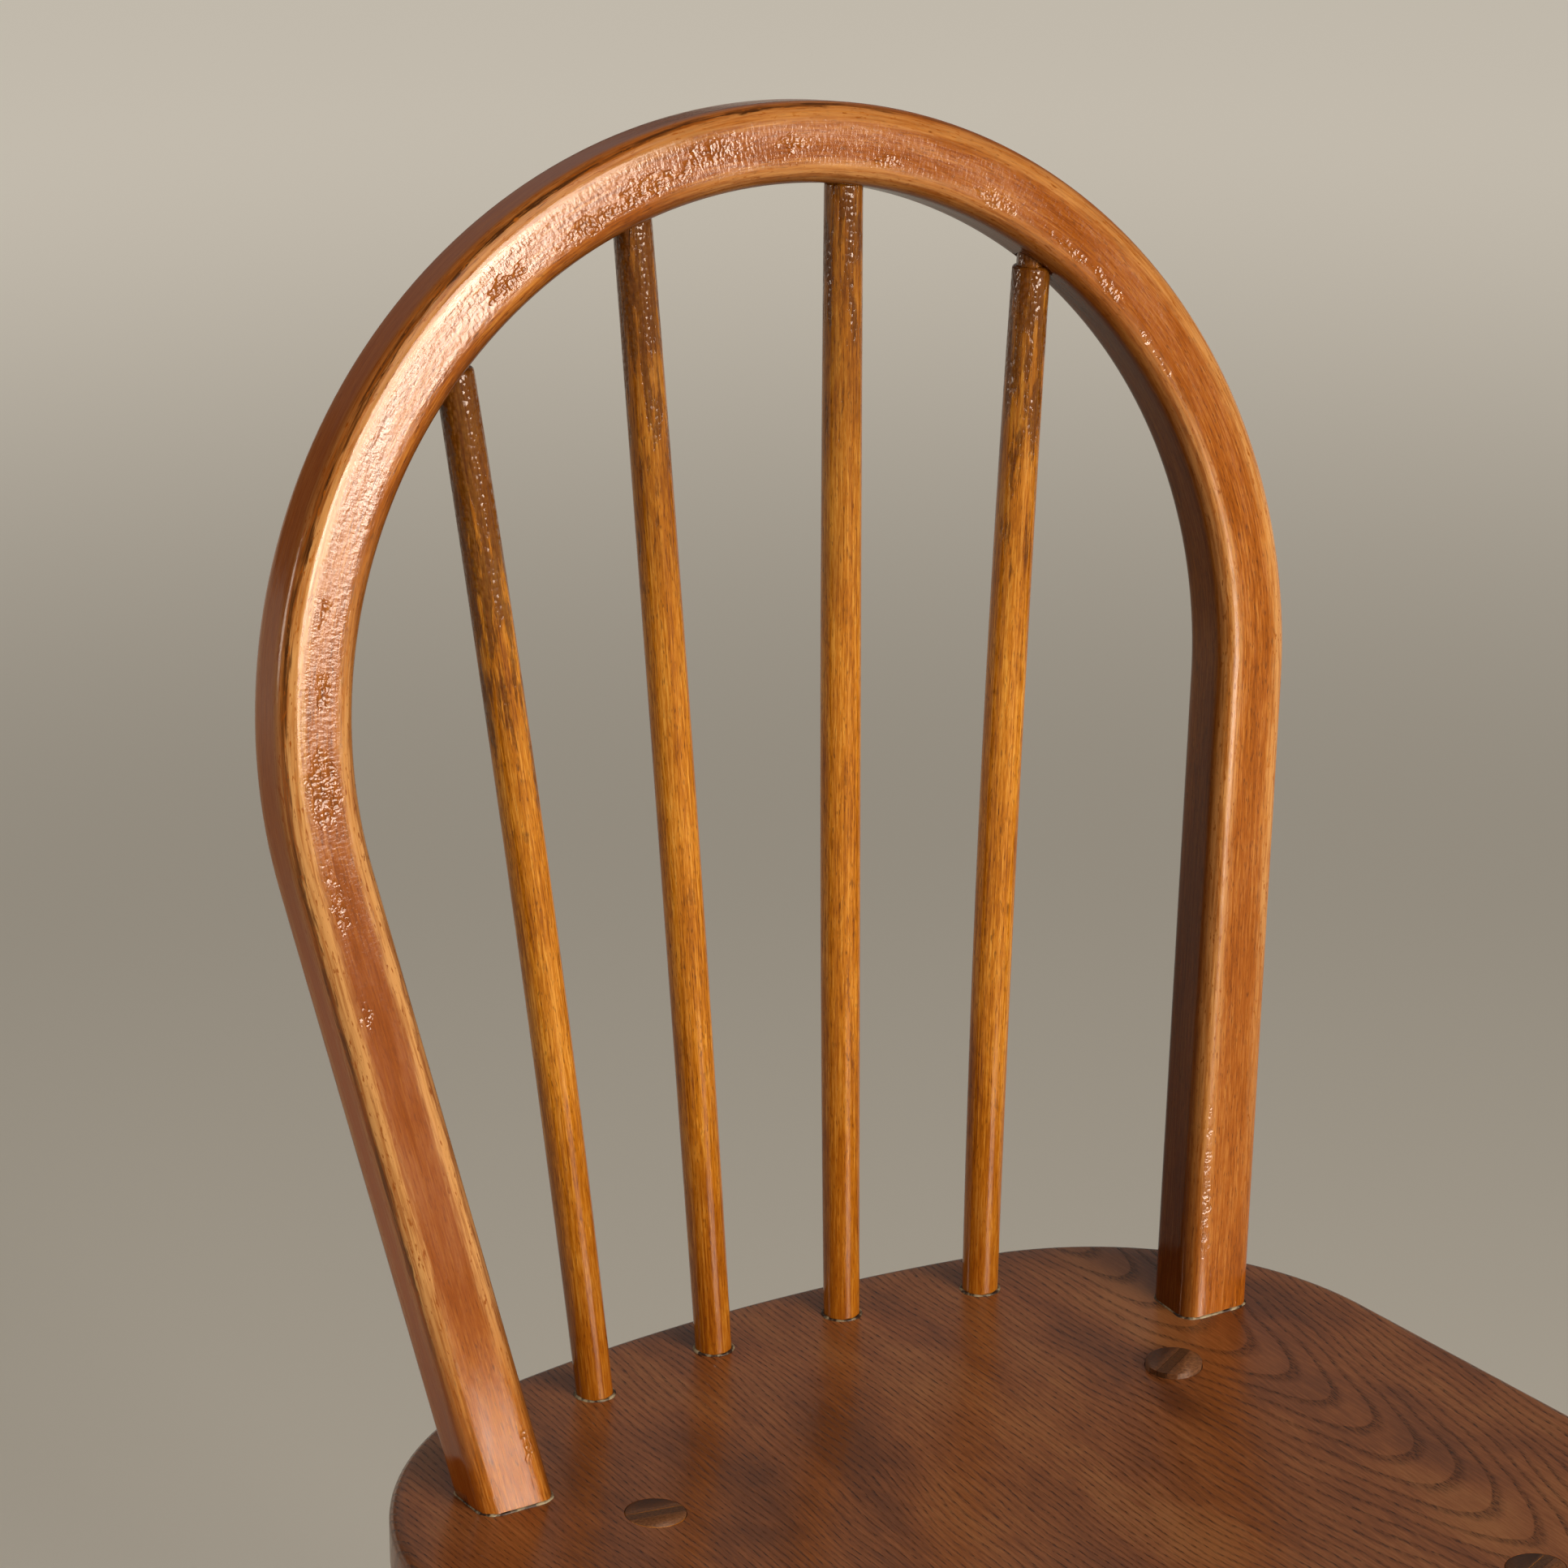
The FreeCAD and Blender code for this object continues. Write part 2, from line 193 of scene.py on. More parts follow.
def drill(start, end, radius):
    """A round cutter from one point to another."""
    bpy.ops.object.select_all(action="DESELECT")
    bpy.ops.mesh.primitive_cylinder_add(vertices=64, radius=radius, depth=(end - start).length)
    bit = bpy.context.object
    turn = Vector((0, 0, 1)).rotation_difference(end - start).to_matrix().to_4x4()
    bit.matrix_world = Matrix.Translation((start + end) / 2) @ turn
    bpy.ops.object.transform_apply()
    return bit


def combine(piece, tools, operation):
    """Cut tools out of a piece (DIFFERENCE) or join them to it (UNION), and throw the tools away."""
    for tool in tools:
        bpy.context.view_layer.objects.active = piece
        change = piece.modifiers.new("change", "BOOLEAN")
        change.operation = operation
        change.solver = "EXACT"
        change.object = tool
        bpy.ops.object.modifier_apply(modifier=change.name)
        bpy.data.objects.remove(tool)


def smooth(piece, angle):
    """Shade a piece smooth, with edges sharper than the angle kept."""
    bpy.ops.object.select_all(action="DESELECT")
    piece.select_set(True)
    bpy.context.view_layer.objects.active = piece
    bpy.ops.object.shade_smooth_by_angle(angle=math.radians(angle))


def add_node(tree, kind, inputs=None, stops=None, **settings):
    """Add a shader node with its settings, inputs and ramp stops, and give its outputs."""
    node = tree.nodes.new("ShaderNode" + kind)
    for name, value in settings.items():
        setattr(node, name, value)
    for name, value in (inputs or {}).items():
        if isinstance(value, bpy.types.NodeSocket):
            tree.links.new(value, node.inputs[name])
        else:
            node.inputs[name].default_value = value
    for i, (place, colour) in enumerate(stops or []):
        ramp = node.color_ramp.elements
        stop = ramp[i] if i < 2 else ramp.new(place)
        stop.position = place
        stop.color = colour
    return node.outputs


def linear(hex_colour):
    """A linear colour with alpha from an sRGB hex value."""
    parts = [int(hex_colour[i:i + 2], 16) / 255 for i in (1, 3, 5)]
    return [p / 12.92 if p <= 0.04045 else ((p + 0.055) / 1.055) ** 2.4 for p in parts] + [1.0]


def new_material(name):
    """A new node material, with its tree and its Principled shader."""
    material = bpy.data.materials.new(name)
    material.use_nodes = True
    return material, material.node_tree, material.node_tree.nodes["Principled BSDF"]


def drawn_out(width, length):
    """The scale of a pattern whose features have this width, and this length along Z, in millimetres."""
    return 1.0 / (width * MM), 1.0 / (width * MM), 1.0 / (length * MM)


def streaks(tree, place, width, length, detail):
    """A soft noise drawn out along Z, with features of about this width and length in millimetres."""
    stretched = add_node(tree, "Mapping", {"Vector": place, "Scale": drawn_out(width, length)})["Vector"]
    noise = {"Vector": stretched, "Scale": 1.0, "Detail": detail, "Roughness": 0.6}
    return add_node(tree, "TexNoise", noise)[0]


def varnished(tree, shader, colour, roughness, height):
    """Link a finish to its shader: its colour, its roughness and the height of its relief in metres."""
    tree.links.new(colour, shader.inputs["Base Color"])
    tree.links.new(roughness, shader.inputs["Roughness"])
    bump = add_node(tree, "Bump", {"Height": height, "Distance": 1.0})
    tree.links.new(bump["Normal"], shader.inputs["Normal"])
    shader.inputs["IOR"].default_value = varnish_ior
    shader.inputs["Specular Tint"].default_value = linear(varnish_tint)


# Stained elm: flat-sawn, ring-porous wood. Its growth rings show as long lines from front to back, which
# close in pointed arches right of the middle, and its open pores as fine dark dashes in those lines. The
# stain is a deep red brown and the varnish shines. A real pore is 0.2 mm wide, so it is drawn coarser.
varnish_ior = 1.48
varnish_tint = "#ffe9d4"
elm_mid = "#925228"
elm_light = "#a76736"
elm_dark = "#6e3b1c"
elm_pore = "#2e160a"
elm_ring = 2.7
elm_heart = Vector((129.0, 40.0)) * MM
elm_dip = -0.12
elm_gloss = (0.12, 0.22)
elm_pore_depth = 0.06 * MM


def stained_elm():
    """The seat's finish, on Object coordinates turned so that the grain runs along Z."""
    material, tree, shader = new_material("stained_elm")
    place = add_node(tree, "TexCoord")["Object"]
    turn = (math.pi / 2, 0.0, 0.0)
    along = add_node(tree, "Mapping", {"Vector": place, "Rotation": turn})[0]
    xyz = add_node(tree, "SeparateXYZ", {"Vector": place})
    across = xyz["X"]
    slow = streaks(tree, along, 75.0, 150.0, 2.0)
    quick = streaks(tree, along, 9.0, 45.0, 2.0)
    for noise, sway in ((slow, 26.0), (quick, 2.4)):
        middle = add_node(tree, "Math", {0: noise, 1: 0.5}, operation="SUBTRACT")[0]
        across = add_node(tree, "Math", {
            0: middle, 1: sway * MM, 2: across}, operation="MULTIPLY_ADD")[0]
    across = add_node(tree, "Math", {0: across, 1: elm_heart.x}, operation="SUBTRACT")[0]
    deep = add_node(tree, "Math", {
        0: xyz["Y"], 1: elm_dip, 2: elm_heart.y}, operation="MULTIPLY_ADD")[0]
    spoke = add_node(tree, "CombineXYZ", {"X": across, "Y": deep})
    reach = add_node(tree, "VectorMath", {0: spoke[0]}, operation="LENGTH")["Value"]
    rings = add_node(tree, "Math", {0: reach, 1: elm_ring * MM}, operation="DIVIDE")[0]
    ring = add_node(tree, "Math", {0: rings}, operation="FRACT")[0]
    early = add_node(tree, "ValToRGB", {"Fac": ring}, [
        (0.0, (0.2, 0.2, 0.2, 1)), (0.04, (1, 1, 1, 1)),
        (0.2, (0.85, 0.85, 0.85, 1)), (0.4, (0.2, 0.2, 0.2, 1))])[0]
    dash = streaks(tree, along, 0.4, 3.6, 3.0)
    broken = add_node(tree, "MapRange", {
        "Value": dash, "From Min": 0.44, "From Max": 0.6, "To Max": 0.9})[0]
    pores = add_node(tree, "Math", {0: early, 1: broken}, operation="MULTIPLY")[0]
    cloud = streaks(tree, along, 38.0, 90.0, 3.0)
    streak = streaks(tree, along, 0.9, 16.0, 4.0)
    tone = add_node(tree, "Math", {0: streak, 1: 0.6, 2: cloud}, operation="MULTIPLY_ADD")[0]
    stain = add_node(tree, "ValToRGB", {"Fac": tone}, [
        (0.6, linear(elm_dark)), (1.0, linear(elm_light)), (0.81, linear(elm_mid))])[0]
    soft = add_node(tree, "Math", {0: early, 1: 0.3}, operation="MULTIPLY")[0]
    marks = add_node(tree, "Math", {0: pores, 1: soft}, operation="MAXIMUM")[0]
    colour = add_node(tree, "MixRGB", {"Fac": marks, "Color1": stain, "Color2": linear(elm_pore)})[0]
    gloss = add_node(tree, "MapRange", {
        "Value": cloud, "From Min": 0.35, "From Max": 0.65,
        "To Min": elm_gloss[0], "To Max": elm_gloss[1]})[0]
    relief = add_node(tree, "Math", {0: pores, 1: -elm_pore_depth}, operation="MULTIPLY")[0]
    varnished(tree, shader, colour, gloss, relief)
    return material


def finish(piece, *materials):
    """Give a piece its materials in place of any it has."""
    piece.data.materials.clear()
    for material in materials:
        piece.data.materials.append(material)


finish(seat, stained_elm())
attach(seat, "root")
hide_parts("seat")


# Legs: turned beech, swelling in the middle, splayed, with round tenons that pass right through the seat.
# Each tenon is split by a hardwood wedge driven in from above, then sawn off near the seat and varnished.
leg_tenon = 19.2 / 2 * MM
leg_neck = 25.0 / 2 * MM
leg_belly = 32.0 / 2 * MM
leg_foot = 21.0 / 2 * MM
leg_belly_height = 250.0 * MM
leg_shoulder_gap = 1.0 * MM
proud_tenon = 2.0 * MM
# Each leg's side, and how far its tenon stands in from the seat's front edge and from that side's edge.
leg_places = {
    "front_left": (-1, 88.0 * MM, 83.9 * MM),
    "front_right": (1, 88.0 * MM, 83.9 * MM),
    "rear_left": (-1, seat_depth - 116.5 * MM, 85.1 * MM),
    "rear_right": (1, seat_depth - 116.5 * MM, 85.1 * MM),
}
tenon_gap = 0.25 * MM
feet = {mount["name"]: Vector(mount["pos_m"]) for mount in frame["record"]["mounts"]}


def swell(low, middle, high):
    """A smooth radius through three (height, radius) stations, as a function of height."""
    def radius(h):
        shares = []
        for a, b, c in ((low, middle, high), (middle, low, high), (high, low, middle)):
            shares.append(a[1] * (h - b[0]) * (h - c[0]) / ((a[0] - b[0]) * (a[0] - c[0])))
        return sum(shares)
    return radius


def turn_on_lathe(name, stations, sides):
    """A turned piece along +Z through (height, radius) stations, closed at both ends."""
    bpy.ops.object.select_all(action="DESELECT")
    start, radius = stations[0]
    bpy.ops.mesh.primitive_circle_add(
        vertices=sides, radius=radius, fill_type="NGON", location=(0, 0, start))
    bpy.ops.object.transform_apply()
    piece = bpy.context.object
    piece.name = name
    edit_all()
    for height, wide in stations[1:]:
        bpy.ops.mesh.extrude_region_move(TRANSFORM_OT_translate={"value": (0, 0, height - start)})
        bpy.ops.transform.resize(value=(wide / radius, wide / radius, 1), center_override=(0, 0, height))
        start, radius = height, wide
    face_outwards()
    return piece


def stand(piece, start, end):
    """Move a turned piece so that it runs from start towards end, and return the matrix that did it."""
    turn = Vector((0, 0, 1)).rotation_difference(end - start).to_matrix().to_4x4()
    place = Matrix.Translation(start) @ turn
    piece.data.transform(place)
    return place


def trim(piece, point, normal):
    """Saw a piece off flat, and drop what lies behind the plane."""
    bpy.context.view_layer.objects.active = piece
    edit_all()
    bpy.ops.mesh.bisect(
        plane_co=point, plane_no=normal, clear_inner=True, use_fill=True, threshold=0.001 * MM)
    bpy.ops.object.mode_set(mode="OBJECT")


def mark_grain(piece, straighten, shift):
    """Keep each point's place in the straight stick that the piece came from, with the grain along Z."""
    grain = piece.data.attributes.new("grain", "FLOAT_VECTOR", "POINT")
    for vertex, mark in zip(piece.data.vertices, grain.data):
        mark.vector = straighten(vertex.co) + Vector((shift, 0.0, 0.0))


def steps(low, high, count):
    """Evenly spaced heights from low to high, both included."""
    return [low + (high - low) * i / count for i in range(count + 1)]


def rounded_shoulder(neck, tenon, rounding):
    """Stations that round a turned shoulder off, from its neck to its tenon."""
    quarter = [math.pi / 2 * i / 6 for i in range(1, 7)]
    return [(neck + rounding * math.sin(a), tenon + rounding * math.cos(a)) for a in quarter]


def make_leg(name, tenon, foot, top):
    """Turn a leg, stand it up, and saw it off at the floor and at the top of its tenon."""
    length = (tenon - foot).length
    upright = (tenon - foot).normalized().z
    slope = math.sqrt(1.0 - upright ** 2) / upright
    rounding = leg_neck - leg_tenon
    shoulder = length - seat_thickness / upright - leg_neck * slope - leg_shoulder_gap
    neck = shoulder - rounding
    radius = swell((0.0, leg_foot), (leg_belly_height, leg_belly), (neck, leg_neck))
    stations = [(-leg_neck, leg_foot)] + [(h, radius(h)) for h in steps(0.0, neck, 40)]
    stations += rounded_shoulder(neck, leg_tenon, rounding)
    stations.append((length + leg_neck, leg_tenon))
    leg = turn_on_lathe(name, stations, 48)
    place = stand(leg, foot, tenon)
    trim(leg, (0, 0, 0), (0, 0, 1))
    trim(leg, (0, 0, top), (0, 0, -1))
    return leg, place.inverted()


# Stained beech: close-grained wood under an amber stain and a bright varnish. It shows fine streaks along
# the grain, cloudy blotches where the stain took unevenly, and short dark pores. A real pore is 0.1 mm wide
# and 1 mm long, so the pores are drawn about four times as coarse to show.
beech_pale = "#e59a38"
beech_mid = "#c07014"
beech_dark = "#854208"
beech_pore = "#42200a"
beech_gloss = (0.11, 0.21)
beech_relief = 0.05 * MM


def stained_beech(name, pale, mid, dark):
    """Beech with its grain along Z of the grain attribute. Gives the sockets that a finish builds on."""
    material, tree, shader = new_material(name)
    grain = add_node(tree, "Attribute", attribute_name="grain")["Vector"]
    streak = streaks(tree, grain, 0.7, 45.0, 4.0)
    blotch = streaks(tree, grain, 9.0, 48.0, 3.0)
    dash = streaks(tree, grain, 0.5, 7.0, 2.0)
    tone = add_node(tree, "Math", {0: dash, 1: 0.9, 2: streak}, operation="MULTIPLY_ADD")[0]
    tone = add_node(tree, "Math", {0: blotch, 1: 0.8, 2: tone}, operation="MULTIPLY_ADD")[0]
    tone = add_node(tree, "MapRange", {"Value": tone, "From Min": 0.93, "From Max": 1.77})[0]
    stain = add_node(tree, "ValToRGB", {"Fac": tone}, [
        (0.12, linear(dark)), (0.88, linear(pale)), (0.5, linear(mid))])[0]
    pore = streaks(tree, grain, 0.45, 3.2, 1.0)
    pores = add_node(tree, "MapRange", {
        "Value": pore, "From Min": 0.6, "From Max": 0.72, "To Max": 0.6})[0]
    spot = streaks(tree, grain, 3.0, 9.0, 3.0)
    spots = add_node(tree, "MapRange", {
        "Value": spot, "From Min": 0.62, "From Max": 0.76, "To Max": 0.6})[0]
    marks = add_node(tree, "Math", {0: pores, 1: spots}, operation="MAXIMUM")[0]
    colour = add_node(tree, "MixRGB", {"Fac": marks, "Color1": stain, "Color2": linear(beech_pore)})[0]
    peel = streaks(tree, grain, 2.2, 6.0, 1.0)
    relief = add_node(tree, "Math", {0: dash, 1: 0.4, 2: peel}, operation="MULTIPLY_ADD")[0]
    relief = add_node(tree, "Math", {0: relief, 1: beech_relief}, operation="MULTIPLY")[0]
    gloss = add_node(tree, "MapRange", {
        "Value": blotch, "From Min": 0.35, "From Max": 0.65,
        "To Min": beech_gloss[0], "To Max": beech_gloss[1]})[0]
    return material, tree, shader, grain, colour, gloss, relief


def leg_beech():
    """The plain finish of the legs and stretchers."""
    material, tree, shader, grain, colour, gloss, relief = stained_beech(
        "stained_beech", beech_pale, beech_mid, beech_dark)
    varnished(tree, shader, colour, gloss, relief)
    return material


# End grain of a tenon under the same stain: darker than the sides, because the open ends drink more of it,
# with a fine speckle of pores. The wedges are darker still, and show as a line across the tenon.
end_grain_light = "#80502f"
end_grain_dark = "#55321b"
wedge_light = "#674024"
wedge_dark = "#3d2210"
end_grain_gloss = (0.3, 0.5)
end_grain_relief = 0.1 * MM


def end_grain(name, light, dark):
    """The finish of a sawn tenon top or of a wedge."""
    material, tree, shader = new_material(name)
    place = add_node(tree, "TexCoord")["Object"]
    speckle = streaks(tree, place, 0.9, 0.9, 3.0)
    stain = add_node(tree, "ValToRGB", {"Fac": speckle}, [
        (0.35, linear(dark)), (0.65, linear(light))])[0]
    gloss = add_node(tree, "MapRange", {
        "Value": speckle, "To Min": end_grain_gloss[0], "To Max": end_grain_gloss[1]})[0]
    relief = add_node(tree, "Math", {0: speckle, 1: end_grain_relief}, operation="MULTIPLY")[0]
    varnished(tree, shader, stain, gloss, relief)
    return material


def kerf_for(wedge):
    """A cutter for a wedge's kerf: the wedge's own shape, grown by the gap round it."""
    kerf = wedge.copy()
    kerf.data = wedge.data.copy()
    bpy.context.scene.collection.objects.link(kerf)
    bpy.ops.object.select_all(action="DESELECT")
    kerf.select_set(True)
    bpy.context.view_layer.objects.active = kerf
    edit_all()
    bpy.ops.mesh.remove_doubles(threshold=0.001 * MM)
    bpy.ops.mesh.dissolve_limited()
    bpy.ops.object.mode_set(mode="OBJECT")
    kerf.parent = None
    grow = kerf.modifiers.new("grow", "DISPLACE")
    grow.strength = tenon_gap
    grow.mid_level = 0.0
    bpy.ops.object.modifier_apply(modifier=grow.name)
    return kerf


leg_finish = leg_beech()
tenon_finish = end_grain("stained_end_grain", end_grain_light, end_grain_dark)
wedge_finish = end_grain("stained_wedge", wedge_light, wedge_dark)
legs = {}
leg_axes = {}
tenon_bits = []
for corner, (side, from_front, inset) in leg_places.items():
    tenon_y = seat_front + from_front
    tenon_x = seat_waist / 2 - (tenon_y - hoop_line) * math.tan(seat_flare) - inset
    tenon = Vector((side * tenon_x, tenon_y, seat_top))
    foot = feet["foot_" + corner]
    top = seat_top + (proud_tenon if corner == "rear_right" else 0.0)
    leg, straight = make_leg("leg_turned_" + corner, tenon, foot, top)
    wedge = frame["nodes"]["leg_wedge_" + corner]
    combine(leg, [kerf_for(wedge)], "DIFFERENCE")
    mark_grain(leg, lambda co: straight @ co, len(legs))
    smooth(leg, 40)
    finish(leg, leg_finish, tenon_finish)
    for face in leg.data.polygons:
        highest = max(leg.data.vertices[i].co.z for i in face.vertices)
        face.material_index = 1 if highest > seat_top or face.normal.z > 0.99 else 0
    finish(wedge, wedge_finish)
    axis = (tenon - foot).normalized()
    reach = axis * 2 * seat_thickness
    tenon_bits.append(drill(tenon - reach, tenon + reach, leg_tenon + tenon_gap))
    legs[corner] = leg
    leg_axes[corner] = (tenon, foot)
    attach(leg, "root")
    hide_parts("leg_" + corner)

combine(seat, tenon_bits, "DIFFERENCE")


# Stretchers: turned beech bars that swell to their middle and are glued into sockets in the legs.
# Two run from front leg to rear leg, and one crosses between those two.
stretcher_height = 172.0 * MM
stretcher_end = 14.0 / 2 * MM
side_stretcher = 22.0 / 2 * MM
cross_stretcher = 21.0 / 2 * MM


def make_stretcher(name, start, end, middle_radius):
    """Turn a stretcher between two points."""
    length = (end - start).length
    radius = swell((0.0, stretcher_end), (length / 2, middle_radius), (length, stretcher_end))
    bar = turn_on_lathe(name, [(h, radius(h)) for h in steps(0.0, length, 40)], 40)
    return bar, stand(bar, start, end).inverted()


def on_leg(corner):
    """The point on a leg's axis at the stretchers' height."""
    tenon, foot = leg_axes[corner]
    return foot.lerp(tenon, stretcher_height / seat_top)


side_ends = {side: (on_leg("front_" + side), on_leg("rear_" + side)) for side in ("left", "right")}
bars = {side: (*ends, side_stretcher) for side, ends in side_ends.items()}
bars["cross"] = (*[(a + b) / 2 for a, b in side_ends.values()], cross_stretcher)
stretchers = []
for place, (start, end, radius) in bars.items():
    bar, straight = make_stretcher("stretcher_turned_" + place, start, end, radius)
    mark_grain(bar, lambda co: straight @ co, len(legs) + len(stretchers))
    smooth(bar, 40)
    finish(bar, leg_finish)
    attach(bar, "root")
    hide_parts("stretcher_" + place)
    stretchers.append(bar)


# Hoop: one beech stick, planed square with rounded arrises, steamed and bent round a former.
# Its two feet end in round tenons that pass through the seat and are wedged from below.
hoop_width = 26.5 * MM
hoop_thickness = 24.0 * MM
hoop_corner = 6.0 * MM
hoop_radius = 177.0 * MM
hoop_height = 421.0 * MM
hoop_foot_inset = 45.45 * MM
hoop_rake = math.radians(11.1)
hoop_tenon = 18.0 / 2 * MM
limb_cuts = 48
bend_cuts = 132
hoop_foot_x = seat_waist / 2 - hoop_foot_inset
arc_centre = Vector((0.0, 0.0, hoop_height - hoop_radius))
foot_reach = math.hypot(hoop_foot_x, arc_centre.z)
limb_lean = math.atan2(arc_centre.z, hoop_foot_x) - math.acos(hoop_radius / foot_reach)
limb_length = math.sqrt(foot_reach ** 2 - hoop_radius ** 2)
bend_angle = math.pi / 2 + limb_lean
hoop_spare = 12.0 * MM
hoop_place = Matrix.Translation((0.0, hoop_line, seat_top)) @ Matrix.Rotation(-hoop_rake, 4, "X")


def plane_section():
    """A flat face with the stick's planed section, in edit mode with all of it selected."""
    bpy.ops.object.select_all(action="DESELECT")
    bpy.ops.mesh.primitive_plane_add(size=1.0)
    section = bpy.context.object
    section.scale = (hoop_width, hoop_thickness, 1.0)
    bpy.ops.object.transform_apply()
    edit_all()
    bpy.ops.mesh.bevel(offset=hoop_corner, segments=8, affect="VERTICES")
    return section


def make_hoop():
    """Plane the section, run it up the left limb, round the bend, down the right, and saw the feet."""
    hoop = plane_section()
    hoop.name = "hoop_bent"
    bpy.ops.mesh.delete(type="ONLY_FACE")
    bpy.ops.mesh.select_mode(type="EDGE")
    bpy.ops.mesh.select_all(action="DESELECT")
    bpy.ops.object.mode_set(mode="OBJECT")
    points = hoop.data.vertices
    for edge in hoop.data.edges:
        a, b = (points[i].co for i in edge.vertices)
        edge.select = (a - b).length > hoop_corner
    bpy.ops.object.mode_set(mode="EDIT")
    bpy.ops.mesh.subdivide(number_cuts=5)
    bpy.ops.object.mode_set(mode="OBJECT")
    up_left = Vector((-math.sin(limb_lean), 0.0, math.cos(limb_lean)))
    down_right = Vector((-math.sin(limb_lean), 0.0, -math.cos(limb_lean)))
    start = Vector((-hoop_foot_x, 0.0, 0.0)) - up_left * hoop_spare
    hoop.data.transform(Matrix.Translation(start) @ Matrix.Rotation(-limb_lean, 4, "Y"))
    edit_all()
    cut = (limb_length + hoop_spare) / limb_cuts
    for i in range(limb_cuts):
        bpy.ops.mesh.extrude_region_move(TRANSFORM_OT_translate={"value": up_left * cut})
    bpy.ops.mesh.spin(steps=bend_cuts, angle=2 * bend_angle, center=arc_centre, axis=(0, -1, 0))
    for i in range(limb_cuts):
        bpy.ops.mesh.extrude_region_move(TRANSFORM_OT_translate={"value": down_right * cut})
    bpy.ops.mesh.select_all(action="SELECT")
    bpy.ops.mesh.remove_doubles(threshold=0.01 * MM)
    bpy.ops.object.mode_set(mode="OBJECT")
    hoop.data.transform(hoop_place)
    trim(hoop, (0, 0, seat_top), (0, 0, 1))
    face_outwards()
    return hoop


def hoop_foot(side):
    """The middle of a foot on the seat's top, and the direction of its limb."""
    up = Vector((side * math.sin(limb_lean), 0.0, math.cos(limb_lean)))
    return hoop_place @ Vector((side * hoop_foot_x, 0.0, 0.0)), hoop_place.to_3x3() @ up


def unbent(co):
    """A point's place in the straight stick: outwards, backwards, and along from the middle."""
    p = hoop_place.inverted() @ co
    spoke = p - arc_centre
    angle = math.atan2(p.x, spoke.z)
    if abs(angle) <= bend_angle:
        return Vector((math.hypot(p.x, spoke.z) - hoop_radius, p.y, angle * hoop_radius))
    side = math.copysign(1.0, p.x)
    out = Vector((side * math.cos(limb_lean), 0.0, -math.sin(limb_lean)))
    down = Vector((-side * math.sin(limb_lean), 0.0, -math.cos(limb_lean)))
    along = bend_angle * hoop_radius + spoke.dot(down)
    return Vector((spoke.dot(out) - hoop_radius, p.y, side * along))


hoop = make_hoop()
for side, word in ((-1, "left"), (1, "right")):
    foot, limb = hoop_foot(side)
    reach = limb * 2 * seat_thickness
    tenon = drill(foot - reach, foot + limb * hoop_corner, hoop_tenon)
    trim(tenon, (0, 0, seat_top - seat_thickness), (0, 0, 1))
    combine(hoop, [tenon], "UNION")
    wedge = frame["nodes"]["hoop_wedge_" + word]
    combine(hoop, [kerf_for(wedge)], "DIFFERENCE")
    finish(wedge, wedge_finish)
    combine(seat, [drill(foot - reach, foot + reach, hoop_tenon + tenon_gap)], "DIFFERENCE")


def way_round(stick):
    """How far round the section a point of the stick lies from the edge of its front or back flat."""
    across = abs(stick.x) - hoop_width / 2 + hoop_corner
    through = abs(stick.y) - hoop_thickness / 2 + hoop_corner
    if across <= 0.0:
        return across
    if through <= 0.0:
        return hoop_corner * math.pi / 2 - through
    return hoop_corner * math.atan2(across, through)


def between(points, at):
    """The value at a place on a line through (place, value) points."""
    for (a, low), (b, high) in zip(points, points[1:]):
        if at <= b:
            return low + (high - low) * max(0.0, at - a) / (b - a)
    return points[-1][1]


# Wear on the hoop, by millimetres along the stick from the middle of the bend, left negative: how far its
# outer and inner arrises are rubbed pale, the line of old grime beside the outer rub, how dark the outer
# side and the front are, how wrinkled the front is, and how far the outer rub is set in towards the front.
# A blister patch gives its place along and across the front, its length and its width.
outer_rub = [(-515, 0.1), (-485, 0.3), (-445, 1.0), (-250, 0.95), (-150, 0.55), (-60, 0.5), (40, 0.4),
             (150, 0.5), (240, 0.85), (380, 0.8), (450, 0.4), (515, 0.0)]
inner_rub = [(-515, 0.0), (-490, 0.2), (-450, 0.85), (-330, 0.9), (-260, 0.75), (-215, 0.3), (-180, 0.0),
             (-45, 0.0), (-10, 0.5), (45, 0.55), (90, 0.35), (150, 0.1), (250, 0.6), (430, 0.6), (515, 0.1)]
outer_grime = [(-490, 0.0), (-440, 0.8), (-300, 0.8), (-260, 1.0), (20, 1.0), (90, 0.3), (150, 0.1)]
outer_shade = [(-500, 0.4), (-440, 0.05), (-350, 0.1), (-300, 0.35), (-240, 0.45), (0, 0.3), (200, 0.3)]
# The front's deeper red is partly its own tone and partly painted shade that takes down light and sheen.
front_deep_and_shade = [(-515, 0.0), (-485, 0.15), (-450, 1.0), (-340, 1.0), (-300, 0.5), (-250, 0.1), (-90, 0.0),
              (-20, 0.5), (90, 0.5), (200, 0.5), (260, 0.0), (330, 0.0), (380, 0.3), (515, 0.3)]
front_folds = [(-400, 0.0), (-300, 0.8), (-260, 1.0), (110, 1.0), (220, 0.4), (280, 0.0)]
outer_set_in = [(-430, 0.0), (-340, 0.4), (-270, 2.4), (-60, 2.6), (60, 1.5), (200, 1.0)]
inner_shade = 1.0
inner_widen = 1.5
inner_set_in = 2.5
hoop_marks = ("edge", "band", "deep", "fold", "blister")
